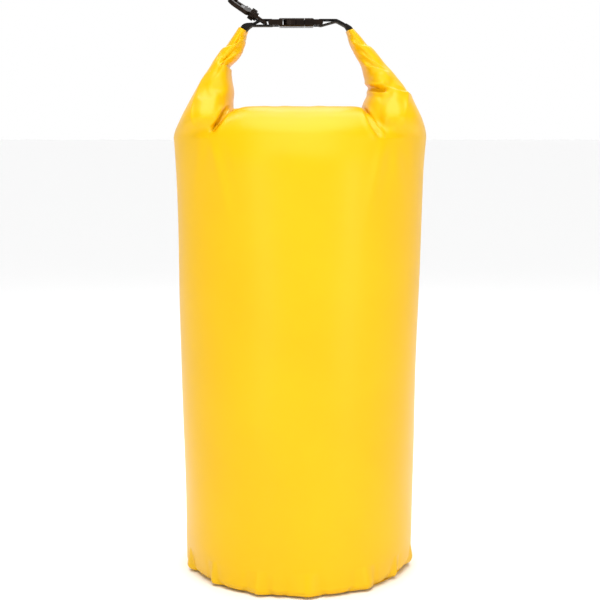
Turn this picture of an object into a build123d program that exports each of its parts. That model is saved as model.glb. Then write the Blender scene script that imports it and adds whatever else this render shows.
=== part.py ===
"""Roll-top stuff sack, closed: a welded tube of coated fabric with a round base, its mouth rolled down
and bent up into a handle that a side-release buckle clips shut, with a swivel snap hook on one strap.

Frame: millimetres, +Z up, origin at the centre of the base's underside. X runs along the rolled mouth and
the buckle, and Y from front to back. The buckle's halves part at X = SPLIT_X, and the two arms of the
rolled mouth are mirror images about that plane.
"""

import os
from math import cos, radians, sin

from build123d import *

# ---- Fabric and body -------------------------------------------------------------------------------
FABRIC = 0.8  # coated fabric thickness
BASE_PANEL = 1.2  # base panel thickness
BASE_RADIUS = 123.0
# Half width along X and half depth along Y at each height. The girth stays about the same.
BODY_SECTIONS = [
    (BASE_PANEL, 125.5, 125.5),
    (8.0, 132.0, 132.0),
    (22.0, 135.5, 135.5),
    (260.0, 141.0, 130.0),
    (508.0, 146.5, 116.0),
    (530.0, 125.0, 101.0),
    (543.0, 89.0, 68.0),
]
BODY_TOP = BODY_SECTIONS[-1][0]
SEAM_WIDTH = 20.0
SEAM_THICKNESS = 0.6
SEAM_BOTTOM = 60.0
SEAM_TOP = 499.0

# ---- Arms of the rolled mouth ----------------------------------------------------------------------
SPLIT_X = -5.0  # mirror plane of the arms, and the middle of the buckle
PIVOT = (87.0, BODY_TOP)  # X and Z of the right arm's swing axis
ARM_LEAN = 19.6  # degrees inwards from vertical
ARM_LENGTH = 92.4  # pivot to the end of the roll
KNUCKLE_RADIUS = 28.0
KNUCKLE_HALF_DEPTH = 30.0
POCKET_GAP = 1.5  # room round the knuckle in the body's shoulder
GROOVE_SIDE_GAP = 0.8  # room beside the roll in the body's top
GROOVE_DEPTH_GAP = 0.5  # room under it
GROOVE_HEIGHT = 40.0  # cut upwards, past the top
GUSSET_TOP = 60.0  # along the arm
GUSSET_TOP_HALF_WIDTH = 8.5
GUSSET_TOP_HALF_DEPTH = 20.5
ROLL_WIDTH = 36.0
ROLL_THICKNESS = 10.0
ROLL_CENTRE_Z = 536.5
ROLL_START = 8.0  # along the arm, inside the gusset
ROLL_CLEARANCE = 0.3
ROLL_END_GAP = 2.5  # between the middle of the roll and each knuckle
LAYER = 1.2  # two plies of the mouth, rolled as one
LAYER_PITCH = 1.4
CORE_HEIGHT = 5.2  # flat gap in the middle of the roll
STIFFENER = (26.0, 1.4)  # width and thickness
STIFFENER_SET_BACK = 2.0  # from the end of the roll

# ---- Webbing ---------------------------------------------------------------------------------------
WEBBING_WIDTH = 25.0
WEBBING = 1.6
WEBBING_PITCH = 1.7  # centre to centre of the doubled strap's layers
WEBBING_START = 62.0  # along the arm
WEBBING_ACROSS = 1.75  # of the outer layer in the arm
BUCKLE_Z = 638.5
BAR_OFFSET = 28.0  # each bar of the buckle from SPLIT_X
BAR_RADIUS = 2.2
WRAP_RADIUS = BAR_RADIUS + 0.2 + WEBBING / 2  # centre line of the webbing round a bar
WRAP_TOP = BUCKLE_Z + WRAP_RADIUS
WRAP_BOTTOM = BUCKLE_Z - WRAP_RADIUS
# Corners of the outer layer from arm to buckle, as X and Z on the right arm or its mirror image.
STRAP_RIGHT = [(58.1, 629.3), (54.5, 635.0), (42.0, WRAP_TOP)]
STRAP_LEFT = [(55.4, WRAP_BOTTOM + WEBBING_PITCH), (44.0, WRAP_BOTTOM + WEBBING_PITCH), (35.0, WRAP_TOP)]
STITCH = (0.6, 2.4, 0.35)  # width, length and height
STITCH_PITCH = (1.4, 3.2)
STITCH_ROWS = 3
STITCHES_ACROSS = 7

# ---- Side-release buckle ---------------------------------------------------------------------------
BUCKLE_WIDTH = 34.0
BUCKLE_THICKNESS = 9.5
BUCKLE_CORNER = 2.6
BUCKLE_CHAMFER = 1.3
NECK_THICKNESS = 6.6
NECK_OVERLAP = 3.0  # of the neck into the block
BAR_SET_IN = 1.0  # of the bar's ends into the rails
RAIL_INNER = 13.3  # half the slot's width
SOCKET_MOUTH = 5.0  # X of the socket's open end
SOCKET_BACK = -24.5
CAVITY_BACK = -21.0
CAVITY_HALF_WIDTH = 14.4
CAVITY_HALF_HEIGHT = 3.3
WINDOW = (-20.0, -4.3)  # X range of the release windows
WINDOW_HEIGHT = 6.0
PLUG_FACE = 5.4
PLUG_BLOCK_END = 16.0
GUIDE_HALF_HEIGHT = 2.4
GUIDE_ROOT = 2.6  # half width at the plug's face
GUIDE_NOSE = 1.6  # half width at the shoulder
GUIDE_SHOULDER = -8.0
GUIDE_TIP = -12.0
PRONG_PIVOT = (4.8, 9.6)  # X and distance from the middle
PRONG_ROOT_RADIUS = 2.2
PRONG_THICKNESS = 5.4

# ---- Swivel snap hook: distances are along it from the eye's bar ----------------------------------
HOOK_BAR = (-39.5, 638.0)  # X and Z of the eye's bar
HOOK_ANGLE = 34.0  # degrees above level, pointing left
HOOK_ROLL = -15.5  # degrees about its own long axis: the far side is the higher one
EYE_BAR_RADIUS = 1.8
EYE_INNER_HALF_WIDTH = 13.8
EYE_OUTER_HALF_WIDTH = 16.6
EYE_THICKNESS = 3.4
EYE_CROSS = (12.2, 15.0)
RIVET_RADIUS = 2.0
RIVET_CLEARANCE = 0.06
RIVET_HEAD = (9.7, 12.05)
RIVET_HEAD_RADIUS = 3.6
RIVET_END = 25.8
COLLAR = (15.15, 21.4)
COLLAR_RADIUS = 6.2
COLLAR_RIDGES = 14
COLLAR_RIDGE_RADIUS = 0.7
HOOK_BASE_WIDEST = 24.3
HOOK_HALF_WIDTH = 11.0
HOOK_HOLE_START = 29.8
HOOK_ARC_CENTRE = 39.5
HOOK_HOLE_RADIUS = 6.4
HOOK_THICKNESS = 4.8
GATE_PIVOT = (27.0, -8.7)
GATE_THICKNESS = 2.6
GATE_SLOT = 3.0
GATE_HALF_WIDTH = 1.9
GATE_END = 41.0
GATE_TIP_GAP = 0.3
GATE_PIN_RADIUS = 0.9
GATE_PIN_CLEARANCE = 0.05
THUMB_RIDGES = 3
THUMB_RIDGES_AT = 6.5  # along the gate from its pivot
THUMB_RIDGE_PITCH = 2.2
THUMB_RIDGE_RADIUS = 0.6
FORK_START = 24.7
FORK_INNER = -4.6
SPRING = 0.3
SPRING_SEAT = -5.4  # across the hook, beside the fork's inner wall
SPRING_REACH = 5.0
SPRING_GAP = 0.07
SPRING_HALF_WIDTH = 1.1


def write(part, name):
    """Labels a finished piece and writes it to its own file."""
    part.label = name
    export_step(part, f"parts/{name}.step")


def body_loft(grow):
    """The tube with its shoulders and closed top, grown outwards by a distance."""
    first, last = BODY_SECTIONS[0][0], BODY_SECTIONS[-1][0]
    with BuildPart() as made:
        for z, half_width, half_depth in BODY_SECTIONS:
            level = z - grow if z == first else z + grow if z == last else z
            with BuildSketch(Plane.XY.offset(level)):
                Ellipse(half_width + grow, half_depth + grow)
        loft(ruled=True)
    return made.part


def top_hollows(grow):
    """The groove that the roll lies in and the two pockets that the arms' knuckles sit in."""
    left_x = 2 * SPLIT_X - PIVOT[0]
    groove_low = ROLL_CENTRE_Z - ROLL_THICKNESS / 2 - GROOVE_DEPTH_GAP - grow
    with BuildPart() as made:
        with BuildSketch(Plane.XZ):
            with Locations((left_x, groove_low)):
                Rectangle(PIVOT[0] - left_x, GROOVE_HEIGHT, align=(Align.MIN, Align.MIN))
        extrude(amount=ROLL_WIDTH / 2 + GROOVE_SIDE_GAP + grow, both=True)
        with BuildSketch(Plane.XZ):
            with Locations((left_x, PIVOT[1]), PIVOT):
                Circle(KNUCKLE_RADIUS + POCKET_GAP + grow)
        extrude(amount=KNUCKLE_HALF_DEPTH + POCKET_GAP + grow, both=True)
    return made.part


def fabric_shell():
    """The body's fabric: a closed skin one ply thick."""
    with BuildPart() as inside:
        add(body_loft(-FABRIC))
        add(top_hollows(FABRIC), mode=Mode.SUBTRACT)
    with BuildPart() as made:
        add(body_loft(0))
        add(top_hollows(0), mode=Mode.SUBTRACT)
        add(inside.part, mode=Mode.SUBTRACT)
    return made.part


def base_panel():
    """Round base panel, welded under the tube's turned-in lower edge."""
    with BuildPart() as made:
        Cylinder(BASE_RADIUS, BASE_PANEL, align=(Align.CENTER, Align.CENTER, Align.MIN))
        chamfer(made.faces().sort_by(Axis.Z)[0].edges(), 0.4)
    return made.part


def back_seam_strip():
    """The welded lap seam: a strip up the back of the tube."""
    with BuildPart() as made:
        add(body_loft(SEAM_THICKNESS))
        add(body_loft(0), mode=Mode.SUBTRACT)
        with Locations((0, 150, (SEAM_BOTTOM + SEAM_TOP) / 2)):
            Box(SEAM_WIDTH, 200, SEAM_TOP - SEAM_BOTTOM, mode=Mode.INTERSECT)
    return made.part


def arm_plane(distance=0.0):
    """Sketch plane of the right arm: local X outwards, local Y along the arm, normal to the front."""
    lean = radians(ARM_LEAN)
    along = Vector(-sin(lean), 0, cos(lean))
    start = Vector(PIVOT[0], 0, PIVOT[1]) + along * distance
    return Plane(origin=start, x_dir=(cos(lean), 0, sin(lean)), z_dir=(0, -1, 0))


def arm_section_plane(distance):
    """Plane across the right arm: local X outwards, local Y to the back, normal along the arm."""
    lean = radians(ARM_LEAN)
    return Plane(
        origin=arm_plane(distance).origin,
        x_dir=(cos(lean), 0, sin(lean)),
        z_dir=(-sin(lean), 0, cos(lean)),
    )


def roll_outline():
    """Centre line of the rolled mouth: a flattened spiral round the core, long way along local X."""
    half = ROLL_WIDTH / 2 - ROLL_THICKNESS / 2
    gap = CORE_HEIGHT / 2 + LAYER / 2
    with BuildLine() as line:
        Line((-half, gap), (half, gap))
        top = gap
        side = 1
        for turn in range(3):
            radius = gap + turn * LAYER_PITCH / 2
            far = top - 2 * side * radius
            outermost = (side * (half + radius), (top + far) / 2)
            ThreePointArc((side * half, top), outermost, (side * half, far))
            Line((side * half, far), (-side * half, far))
            top = far
            side = -side
    return line


def roll_section():
    """Cross section of the rolled mouth, as one spiral of doubled fabric."""
    with BuildSketch() as made:
        trace(roll_outline().edges(), LAYER)
    return made.sketch


def roll_part(plane, length, turn):
    """A straight stretch of the roll, its section turned about the plane's normal."""
    with BuildPart() as made:
        with BuildSketch(plane):
            add(roll_section(), rotation=turn)
        extrude(amount=length)
    return made.part


def stiffener_part(plane, length, turn, shift):
    """A flat plastic strip in the roll's core, pushed to one side of it."""
    with BuildPart() as made:
        with BuildSketch(plane):
            with Locations(Location((0, 0, 0), (0, 0, turn))):
                with Locations((0, shift)):
                    Rectangle(*STIFFENER)
        extrude(amount=length)
    return made.part


def shoulder_gusset():
    """Fabric gathered round the foot of an arm: a round knuckle, narrower upwards, cored for the roll."""
    side = arm_section_plane(0)
    with BuildPart() as made:
        with BuildSketch(arm_plane()):
            Circle(KNUCKLE_RADIUS)
            with BuildLine():
                Polyline(
                    (-KNUCKLE_RADIUS, 0),
                    (KNUCKLE_RADIUS, 0),
                    (GUSSET_TOP_HALF_WIDTH, GUSSET_TOP),
                    (-GUSSET_TOP_HALF_WIDTH, GUSSET_TOP),
                    close=True,
                )
            make_face()
        extrude(amount=KNUCKLE_HALF_DEPTH, both=True)
        with BuildSketch(Plane(origin=side.origin, x_dir=side.y_dir, z_dir=side.x_dir)):
            with BuildLine():
                Polyline(
                    (-KNUCKLE_HALF_DEPTH, -2 * KNUCKLE_RADIUS),
                    (KNUCKLE_HALF_DEPTH, -2 * KNUCKLE_RADIUS),
                    (KNUCKLE_HALF_DEPTH, 0),
                    (GUSSET_TOP_HALF_DEPTH, GUSSET_TOP),
                    (-GUSSET_TOP_HALF_DEPTH, GUSSET_TOP),
                    (-KNUCKLE_HALF_DEPTH, 0),
                    close=True,
                )
            make_face()
        extrude(amount=2 * KNUCKLE_RADIUS, both=True, mode=Mode.INTERSECT)
        with BuildSketch(arm_section_plane(ROLL_START - ROLL_CLEARANCE)):
            Rectangle(ROLL_THICKNESS + 1 + 2 * ROLL_CLEARANCE, ROLL_WIDTH + 2 * ROLL_CLEARANCE)
        extrude(amount=GUSSET_TOP, mode=Mode.SUBTRACT)
    return made.part


def on_arm(across, along):
    """X and Z of a point on the right arm."""
    place = arm_plane().from_local_coords(Vector(across, along, 0))
    return (place.X, place.Z)


def shifted(points, gap):
    """A polyline that runs a distance to the left of another."""
    normals = []
    for (x0, z0), (x1, z1) in zip(points, points[1:]):
        normals.append(Vector(z0 - z1, x1 - x0).normalized())
    moved = []
    for (x, z), before, after in zip(points, normals[:1] + normals, normals + normals[-1:]):
        mitre = (before + after) * (gap / (1 + before.dot(after)))
        moved.append((x + mitre.X, z + mitre.Y))
    return moved


def strap_route(corners):
    """The outer layer from the roll's core to the top of the buckle's bar."""
    return [on_arm(WEBBING_ACROSS, WEBBING_START), *corners, (SPLIT_X + BAR_OFFSET, WRAP_TOP)]


def webbing_part(corners, shared):
    """A strap: both ends sewn into the roll, side by side up to a shared corner, looped round a bar."""
    bar_x = SPLIT_X + BAR_OFFSET
    outer = strap_route(corners)
    inner = shifted(outer, WEBBING_PITCH)[: shared + 1]
    inner_radii = [5.0] * shared
    if inner[-1][1] > WRAP_BOTTOM + WEBBING:
        inner.append((bar_x + 1.5, WRAP_BOTTOM))
        inner_radii.append(4.0)
    with BuildPart() as made:
        with BuildSketch(Plane.XZ):
            with BuildLine() as line:
                FilletPolyline(*outer, radius=[5.0 + WEBBING_PITCH] * len(corners))
                ThreePointArc(outer[-1], (bar_x - WRAP_RADIUS, BUCKLE_Z), (bar_x, WRAP_BOTTOM))
                FilletPolyline((bar_x, WRAP_BOTTOM), *reversed(inner), radius=inner_radii[::-1])
            trace(line.edges(), WEBBING)
        extrude(amount=WEBBING_WIDTH / 2, both=True)
    return made.part


def stitching_part(start, end):
    """Bar tack across the doubled strap, as separate stitches lying on it between two corners."""
    along = (Vector(end[0], 0, end[1]) - Vector(start[0], 0, start[1])).normalized()
    middle = Vector((start[0] + end[0]) / 2, 0, (start[1] + end[1]) / 2)
    outwards = Vector(0, 1, 0).cross(along)
    surface = Plane(origin=middle + outwards * (WEBBING / 2), x_dir=along, z_dir=outwards)
    with BuildPart() as made:
        with BuildSketch(surface):
            with GridLocations(STITCH_PITCH[0], STITCH_PITCH[1], STITCH_ROWS, STITCHES_ACROSS):
                Rectangle(STITCH[0], STITCH[1])
        extrude(amount=STITCH[2])
    return made.part


def neck_profile(bar_x, block_x):
    """Side view of the neck between a buckle half's block and the round end about its bar."""
    with BuildSketch(Plane.XZ) as made:
        with Locations(((bar_x + block_x) / 2, BUCKLE_Z)):
            Rectangle(abs(block_x - bar_x), NECK_THICKNESS)
        with Locations((bar_x, BUCKLE_Z)):
            Circle(NECK_THICKNESS / 2)
    return made.sketch


def buckle_half(bar_x, back, mouth):
    """What the halves share: a rounded block, a neck of two rails and a round bar for the webbing."""
    inwards = 1 if mouth > back else -1
    with BuildPart() as made:
        with BuildSketch(Plane.YZ.offset(min(back, mouth))):
            with Locations((0, BUCKLE_Z)):
                RectangleRounded(BUCKLE_WIDTH, BUCKLE_THICKNESS, BUCKLE_CORNER)
        extrude(amount=abs(mouth - back))
        chamfer(made.faces().sort_by(Axis.X)[0 if inwards > 0 else -1].edges(), BUCKLE_CHAMFER)
        add(extrude(neck_profile(bar_x, back + NECK_OVERLAP * inwards), amount=BUCKLE_WIDTH / 2, both=True))
        far_end = bar_x - NECK_THICKNESS * inwards
        with Locations(((far_end + back) / 2, 0, BUCKLE_Z)):
            Box(abs(back - far_end), 2 * RAIL_INNER, 2 * BUCKLE_THICKNESS, mode=Mode.SUBTRACT)
        with Locations(Location((bar_x, 0, BUCKLE_Z), (90, 0, 0))):
            Cylinder(BAR_RADIUS, 2 * RAIL_INNER + 2 * BAR_SET_IN)
    return made.part


def buckle_socket():
    """Female half: open to the right, with a release window in each side."""
    with BuildPart() as made:
        add(buckle_half(SPLIT_X - BAR_OFFSET, SOCKET_BACK, SOCKET_MOUTH))
        with Locations(((CAVITY_BACK + SOCKET_MOUTH) / 2, 0, BUCKLE_Z)):
            Box(
                SOCKET_MOUTH - CAVITY_BACK,
                2 * CAVITY_HALF_WIDTH,
                2 * CAVITY_HALF_HEIGHT,
                mode=Mode.SUBTRACT,
            )
        with Locations(((WINDOW[0] + WINDOW[1]) / 2, 0, BUCKLE_Z)):
            Box(WINDOW[1] - WINDOW[0], BUCKLE_WIDTH + 2, WINDOW_HEIGHT, mode=Mode.SUBTRACT)
    return made.part


def buckle_plug():
    """Male half without its prongs: its block has a tapered guide and round seats for the prongs."""
    with BuildPart() as made:
        add(buckle_half(SPLIT_X + BAR_OFFSET, PLUG_BLOCK_END, PLUG_FACE))
        with BuildSketch(Plane.XY.offset(BUCKLE_Z)):
            with BuildLine():
                Polyline(
                    (PLUG_FACE + 1, -GUIDE_ROOT),
                    (GUIDE_SHOULDER, -GUIDE_NOSE),
                    (GUIDE_TIP, 0),
                    (GUIDE_SHOULDER, GUIDE_NOSE),
                    (PLUG_FACE + 1, GUIDE_ROOT),
                    close=True,
                )
            make_face()
        extrude(amount=GUIDE_HALF_HEIGHT, both=True)
        with BuildSketch(Plane.XY.offset(BUCKLE_Z)):
            with Locations((PRONG_PIVOT[0], PRONG_PIVOT[1]), (PRONG_PIVOT[0], -PRONG_PIVOT[1])):
                Circle(PRONG_ROOT_RADIUS + 0.1)
        extrude(amount=PRONG_THICKNESS / 2 + 0.15, both=True, mode=Mode.SUBTRACT)
    return made.part


def plug_prong():
    """The back release prong. Its barb bears on the front edge of the socket's window."""
    root_x, root_y = PRONG_PIVOT
    with BuildPart() as made:
        with BuildSketch(Plane.XY.offset(BUCKLE_Z)):
            with Locations(PRONG_PIVOT):
                Circle(PRONG_ROOT_RADIUS)
            with BuildLine():
                Polyline(
                    (root_x - 0.4, root_y + 2.1),
                    (WINDOW[1] + 1.5, 13.6),
                    (WINDOW[1] - 0.4, 13.8),
                    (WINDOW[1] - 0.6, 16.4),
                    (WINDOW[1] - 6, 16.6),
                    (WINDOW[0] + 5, 15.4),
                    (WINDOW[0] + 1, 10.6),
                    (WINDOW[0] + 1.6, 9.0),
                    (WINDOW[0] + 5, 10.2),
                    (WINDOW[1] - 1, 10.4),
                    (root_x - 0.4, root_y - 2.1),
                    close=True,
                )
            make_face()
        extrude(amount=PRONG_THICKNESS / 2, both=True)
    return made.part


def hook_plane(roll):
    """Sketch plane of the snap hook: local X along it, local Y to the front, normal upwards."""
    angle, turn = radians(HOOK_ANGLE), radians(roll)
    normal = Vector(sin(angle) * cos(turn), sin(turn), cos(angle) * cos(turn))
    return Plane(origin=(HOOK_BAR[0], 0, HOOK_BAR[1]), x_dir=(-cos(angle), 0, sin(angle)), z_dir=normal)


def hook_side_plane():
    """Plane along the hook's long axis and square to the eye: local X along it, local Y upwards."""
    flat = hook_plane(0)
    return Plane(origin=flat.origin, x_dir=flat.x_dir, z_dir=(0, 1, 0))


def hook_cross_plane(distance):
    """Plane across the hook at a distance along it, normal along the hook."""
    flat = hook_plane(0)
    return Plane(origin=flat.origin + flat.x_dir * distance, x_dir=flat.y_dir, z_dir=flat.x_dir)


def hook_eye():
    """Eye whose round bar passes through the left strap's loop, with a cross bar bored for the swivel."""
    with BuildPart() as made:
        with BuildSketch(hook_side_plane()):
            Circle(EYE_BAR_RADIUS)
            with Locations((EYE_CROSS[1] / 2, 0)):
                Rectangle(EYE_CROSS[1], EYE_THICKNESS)
        extrude(amount=EYE_OUTER_HALF_WIDTH, both=True)
        with BuildSketch(hook_side_plane()):
            with Locations((EYE_CROSS[0] / 2 - 5, 0)):
                Rectangle(EYE_CROSS[0] + 10, 10)
        extrude(amount=EYE_INNER_HALF_WIDTH, both=True, mode=Mode.SUBTRACT)
        with BuildSketch(hook_side_plane()):
            Circle(EYE_BAR_RADIUS)
        extrude(amount=EYE_INNER_HALF_WIDTH + 1, both=True)
        with BuildSketch(hook_cross_plane(EYE_CROSS[0])):
            Circle(COLLAR_RADIUS - 1.2)
        extrude(amount=EYE_CROSS[1] - EYE_CROSS[0])
        with BuildSketch(hook_cross_plane(EYE_CROSS[0] - 1)):
            Circle(RIVET_RADIUS + RIVET_CLEARANCE)
        extrude(amount=EYE_CROSS[1] - EYE_CROSS[0] + 2, mode=Mode.SUBTRACT)
    return made.part


def hook_rivet():
    """Swivel rivet: its head is inside the eye, and its shank is fast in the hook."""
    with BuildPart() as made:
        with BuildSketch(hook_cross_plane(RIVET_HEAD[0])):
            Circle(RIVET_HEAD_RADIUS)
        extrude(amount=RIVET_HEAD[1] - RIVET_HEAD[0])
        chamfer(made.faces().sort_by_distance(hook_plane(0).origin)[0].edges(), 0.8)
        with BuildSketch(hook_cross_plane(RIVET_HEAD[1])):
            Circle(RIVET_RADIUS)
        extrude(amount=RIVET_END - RIVET_HEAD[1])
    return made.part


def hook_body():
    """The hook itself: a ridged collar, a forked base, a spine on the near side and a nose."""
    frame = hook_plane(HOOK_ROLL)
    fork_width = 2 * (HOOK_HALF_WIDTH + FORK_INNER)
    with BuildPart() as made:
        with BuildSketch(frame):
            with Locations((HOOK_ARC_CENTRE, 0)):
                Circle(HOOK_HALF_WIDTH)
            with BuildLine():
                Polyline(
                    (COLLAR[1] - 1, -COLLAR_RADIUS + 1),
                    (HOOK_BASE_WIDEST, -HOOK_HALF_WIDTH),
                    (HOOK_ARC_CENTRE, -HOOK_HALF_WIDTH),
                    (HOOK_ARC_CENTRE, HOOK_HALF_WIDTH),
                    (HOOK_BASE_WIDEST, HOOK_HALF_WIDTH),
                    (COLLAR[1] - 1, COLLAR_RADIUS - 1),
                    close=True,
                )
            make_face()
            with Locations((HOOK_ARC_CENTRE, 0)):
                Circle(HOOK_HOLE_RADIUS, mode=Mode.SUBTRACT)
            with Locations(((HOOK_HOLE_START + HOOK_ARC_CENTRE) / 2, 0)):
                Rectangle(HOOK_ARC_CENTRE - HOOK_HOLE_START, 2 * HOOK_HOLE_RADIUS, mode=Mode.SUBTRACT)
            # Mouth on the far side, which the gate closes.
            mouth_end = GATE_END + GATE_TIP_GAP
            with Locations(((HOOK_HOLE_START + mouth_end) / 2, -HOOK_HALF_WIDTH)):
                Rectangle(mouth_end - HOOK_HOLE_START, fork_width, mode=Mode.SUBTRACT)
        extrude(amount=HOOK_THICKNESS / 2, both=True)
        with BuildSketch(frame):
            with Locations(((FORK_START + HOOK_HOLE_START + 1) / 2, -HOOK_HALF_WIDTH)):
                Rectangle(HOOK_HOLE_START + 1 - FORK_START, fork_width)
        extrude(amount=GATE_SLOT / 2, both=True, mode=Mode.SUBTRACT)
        with BuildSketch(frame):
            with Locations(GATE_PIVOT):
                Circle(GATE_PIN_RADIUS)
        extrude(amount=HOOK_THICKNESS, both=True, mode=Mode.SUBTRACT)
        with BuildSketch(hook_cross_plane(COLLAR[0])):
            Circle(COLLAR_RADIUS)
            with PolarLocations(COLLAR_RADIUS, COLLAR_RIDGES):
                Circle(COLLAR_RIDGE_RADIUS)
        extrude(amount=COLLAR[1] - COLLAR[0])
        with BuildSketch(hook_cross_plane(COLLAR[0] - 1)):
            Circle(RIVET_RADIUS)
        extrude(amount=RIVET_END - COLLAR[0] + 1, mode=Mode.SUBTRACT)
    return made.part


def hook_gate():
    """The gate: a bar on a pin, with small thumb ridges on its outer side."""
    with BuildPart() as made:
        with BuildSketch(hook_plane(HOOK_ROLL)):
            with Locations(GATE_PIVOT):
                Circle(GATE_HALF_WIDTH)
            with Locations(((GATE_PIVOT[0] + GATE_END) / 2, GATE_PIVOT[1])):
                Rectangle(GATE_END - GATE_PIVOT[0], 2 * GATE_HALF_WIDTH)
            with Locations((GATE_PIVOT[0] + THUMB_RIDGES_AT, GATE_PIVOT[1] - GATE_HALF_WIDTH)):
                with GridLocations(THUMB_RIDGE_PITCH, 1, THUMB_RIDGES, 1):
                    Circle(THUMB_RIDGE_RADIUS)
            with Locations(GATE_PIVOT):
                Circle(GATE_PIN_RADIUS + GATE_PIN_CLEARANCE, mode=Mode.SUBTRACT)
        extrude(amount=GATE_THICKNESS / 2, both=True)
    return made.part


def gate_pin():
    """Pin that the gate turns on, held in the fork's ears."""
    with BuildPart() as made:
        with BuildSketch(hook_plane(HOOK_ROLL)):
            with Locations(GATE_PIVOT):
                Circle(GATE_PIN_RADIUS)
        extrude(amount=HOOK_THICKNESS / 2, both=True)
    return made.part


def gate_spring():
    """Leaf spring from the fork's end wall to the gate's inner side."""
    inner_side = GATE_PIVOT[1] + GATE_HALF_WIDTH
    with BuildPart() as made:
        with BuildSketch(hook_plane(HOOK_ROLL)):
            with BuildLine() as line:
                Polyline(
                    (FORK_START, SPRING_SEAT),
                    (HOOK_HOLE_START, SPRING_SEAT),
                    (HOOK_HOLE_START + SPRING_REACH, inner_side + SPRING / 2 + SPRING_GAP),
                )
            trace(line.edges(), SPRING)
        extrude(amount=SPRING_HALF_WIDTH, both=True)
    return made.part


def across(part):
    """The same piece on the other arm."""
    return mirror(part, about=Plane.YZ.offset(SPLIT_X))


os.makedirs("parts", exist_ok=True)

write(fabric_shell(), "bag_body")
write(base_panel(), "base_panel")
write(back_seam_strip(), "back_seam_strip")

roll_end = PIVOT[0] - KNUCKLE_RADIUS - ROLL_END_GAP
roll_ends = (2 * SPLIT_X - roll_end, roll_end)
middle_plane = Plane(origin=(roll_ends[0], 0, ROLL_CENTRE_Z), x_dir=(0, 1, 0), z_dir=(1, 0, 0))
write(roll_part(middle_plane, roll_ends[1] - roll_ends[0], 0), "rolled_mouth_middle")
write(stiffener_part(middle_plane, roll_ends[1] - roll_ends[0], 0, 0), "stiffener_middle")

arm_pieces = {
    "shoulder_gusset": shoulder_gusset(),
    "rolled_mouth": roll_part(arm_section_plane(ROLL_START), ARM_LENGTH - ROLL_START, 90),
    "stiffener": stiffener_part(
        arm_section_plane(ROLL_START), ARM_LENGTH - ROLL_START - STIFFENER_SET_BACK, 90, WEBBING_ACROSS
    ),
}
for name, piece in arm_pieces.items():
    write(piece, f"{name}_right")
    write(across(piece), f"{name}_left")

write(webbing_part(STRAP_RIGHT, 3), "webbing_right")
write(across(webbing_part(STRAP_LEFT, 1)), "webbing_left")
write(stitching_part(*STRAP_RIGHT[1:]), "webbing_stitching_right")
write(across(stitching_part(*STRAP_LEFT[:2])), "webbing_stitching_left")

write(buckle_socket(), "buckle_socket")
write(buckle_plug(), "buckle_plug")
write(plug_prong(), "plug_prong_back")
write(mirror(plug_prong(), about=Plane.XZ), "plug_prong_front")

write(hook_eye(), "hook_eye")
write(hook_rivet(), "hook_swivel_rivet")
write(hook_body(), "hook_body")
write(hook_gate(), "hook_gate")
write(gate_pin(), "hook_gate_pin")
write(gate_spring(), "hook_gate_spring")
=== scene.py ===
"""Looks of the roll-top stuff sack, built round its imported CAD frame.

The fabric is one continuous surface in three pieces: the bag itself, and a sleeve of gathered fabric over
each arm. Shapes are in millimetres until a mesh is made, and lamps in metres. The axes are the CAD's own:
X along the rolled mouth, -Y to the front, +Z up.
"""

import math

import bpy
import numpy as np
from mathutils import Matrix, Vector


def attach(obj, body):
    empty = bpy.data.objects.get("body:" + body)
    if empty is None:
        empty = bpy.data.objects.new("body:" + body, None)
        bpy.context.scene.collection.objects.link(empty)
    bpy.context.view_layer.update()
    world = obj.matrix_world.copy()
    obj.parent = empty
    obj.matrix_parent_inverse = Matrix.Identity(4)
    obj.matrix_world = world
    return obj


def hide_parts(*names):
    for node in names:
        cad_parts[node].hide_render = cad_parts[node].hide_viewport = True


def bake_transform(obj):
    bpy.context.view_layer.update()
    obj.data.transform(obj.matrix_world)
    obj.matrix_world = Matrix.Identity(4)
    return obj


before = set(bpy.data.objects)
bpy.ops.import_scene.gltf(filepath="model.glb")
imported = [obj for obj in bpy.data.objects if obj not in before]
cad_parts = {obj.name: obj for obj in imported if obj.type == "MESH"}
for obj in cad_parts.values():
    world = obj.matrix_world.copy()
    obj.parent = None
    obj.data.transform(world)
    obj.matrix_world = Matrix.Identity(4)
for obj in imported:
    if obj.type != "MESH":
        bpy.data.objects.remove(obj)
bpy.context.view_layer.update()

MM = 0.001

# ---- Body ------------------------------------------------------------------------------------------
COLUMNS = 384  # round the bag, from +X by way of the back
SPLIT_Z = 508.0  # the bag's tube ends and the sleeves and the top begin
# Half width and half depth at each height.
BODY_PROFILE = [
    (24.0, 134.6, 135.6),
    (75.0, 135.4, 134.8),
    (173.0, 136.9, 133.0),
    (258.0, 138.7, 130.6),
    (341.0, 140.6, 128.0),
    (435.0, 142.7, 122.4),
    (468.0, 143.7, 119.6),
    (488.0, 144.8, 116.2),
    (SPLIT_Z, 146.4, 109.6),
]
LEAN = 1.6  # of the base towards -X
LEAN_START = 20.0  # below the split
LEAN_HEIGHT = 330.0
CORNER_RADIUS = 9.0  # of the bottom edge
CORNER_RADIUS_RIGHT = 15.0  # where the right side sags in
SAG_AT, SAG_WIDTH = 82.0, 30.0  # degrees from the front towards +X
CORNER_Z = 1.3  # lowest fabric of the bottom edge
TURNED_IN = 12.0  # of the tube over the base panel
TURNED_IN_Z = 1.5
UNEVENNESS = 0.45  # of the filled fabric

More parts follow.
